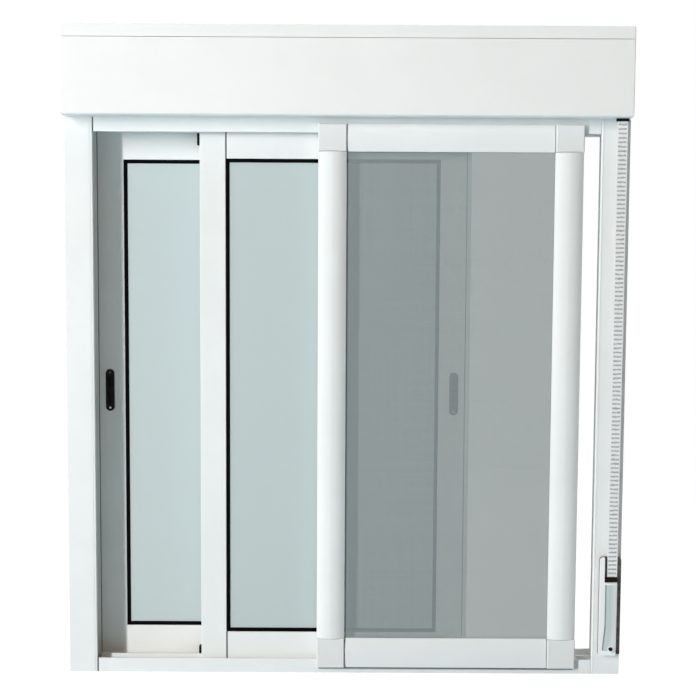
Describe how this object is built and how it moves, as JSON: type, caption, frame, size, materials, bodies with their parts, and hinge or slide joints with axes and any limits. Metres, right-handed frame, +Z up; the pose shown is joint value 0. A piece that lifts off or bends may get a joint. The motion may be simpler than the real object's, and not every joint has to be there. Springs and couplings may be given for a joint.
{
  "type": "horizontal sliding window",
  "caption": "White aluminium window whose glazed sashes and insect screen slide sideways in a frame, with a roller-shutter box above and a strap winder on the jamb.",
  "frame": {"origin": "middle of the sill's underside, half-way through the frame's depth", "axes": "+X to the right seen from the room, +Y into the wall towards the outside, +Z up"},
  "size_m": [1, 0.155, 1.155],
  "materials": {
    "white_aluminium": "satin powder coat",
    "white_plastic": "satin",
    "glass": "clear, pale green-grey tint",
    "black_rubber": "matt",
    "black_plastic": "matt",
    "screen_mesh": "woven glass fibre",
    "strap_webbing": "woven polyester with grey flecks",
    "dark_steel": "dull",
    "bare_aluminium": "mill",
    "nylon": "matt"
  },
  "bodies": {
    "frame": {"frame_left_jamb": "white_aluminium", "frame_right_jamb": "white_aluminium", "frame_head": "white_aluminium", "frame_sill": "white_aluminium", "shutter_guide_left": "white_aluminium", "shutter_guide_right": "white_aluminium", "shutter_bottom_slat": "white_aluminium", "box_top_cover": "white_plastic", "box_front_cover": "white_plastic", "box_back_panel": "white_plastic", "box_soffit": "white_plastic", "box_left_end": "white_plastic", "box_right_end": "white_plastic", "strap": "strap_webbing", "strap_guide": "black_plastic", "winder_plate": "dark_steel", "winder_cover": "white_plastic", "winder_lid": "bare_aluminium", "winder_roller": "black_plastic"},
    "rear_sash": {"rear_sash_lock_stile": "white_aluminium", "rear_sash_meeting_stile": "white_aluminium", "rear_sash_top_rail": "white_aluminium", "rear_sash_bottom_rail": "white_aluminium", "rear_sash_glass": "glass", "rear_sash_spacer": "bare_aluminium", "rear_sash_gasket": "black_rubber", "rear_sash_latch": "black_plastic", "rear_sash_interlock": "white_aluminium", "rear_sash_rollers": "nylon"},
    "front_sash": {"front_sash_lock_stile": "white_aluminium", "front_sash_meeting_stile": "white_aluminium", "front_sash_top_rail": "white_aluminium", "front_sash_bottom_rail": "white_aluminium", "front_sash_glass": "glass", "front_sash_spacer": "bare_aluminium", "front_sash_gasket": "black_rubber", "front_sash_latch": "black_plastic", "front_sash_interlock": "white_aluminium", "front_sash_rollers": "nylon"},
    "screen": {"screen_left_stile": "white_aluminium", "screen_right_stile": "white_aluminium", "screen_top_rail": "white_aluminium", "screen_bottom_rail": "white_aluminium", "screen_corners": "white_plastic", "screen_mesh": "screen_mesh", "screen_glides": "nylon"}
  },
  "joints": [
    {"name": "front_sash_slide", "type": "slide", "parent": "frame", "child": "front_sash", "axis": [1, 0, 0], "range_m": [-0.1915, 0.2375]},
    {"name": "rear_sash_slide", "type": "slide", "parent": "frame", "child": "rear_sash", "axis": [1, 0, 0], "range_m": [0, 0.429]},
    {"name": "screen_slide", "type": "slide", "parent": "frame", "child": "screen", "axis": [1, 0, 0], "range_m": [-0.3935, 0.0265]}
  ]
}
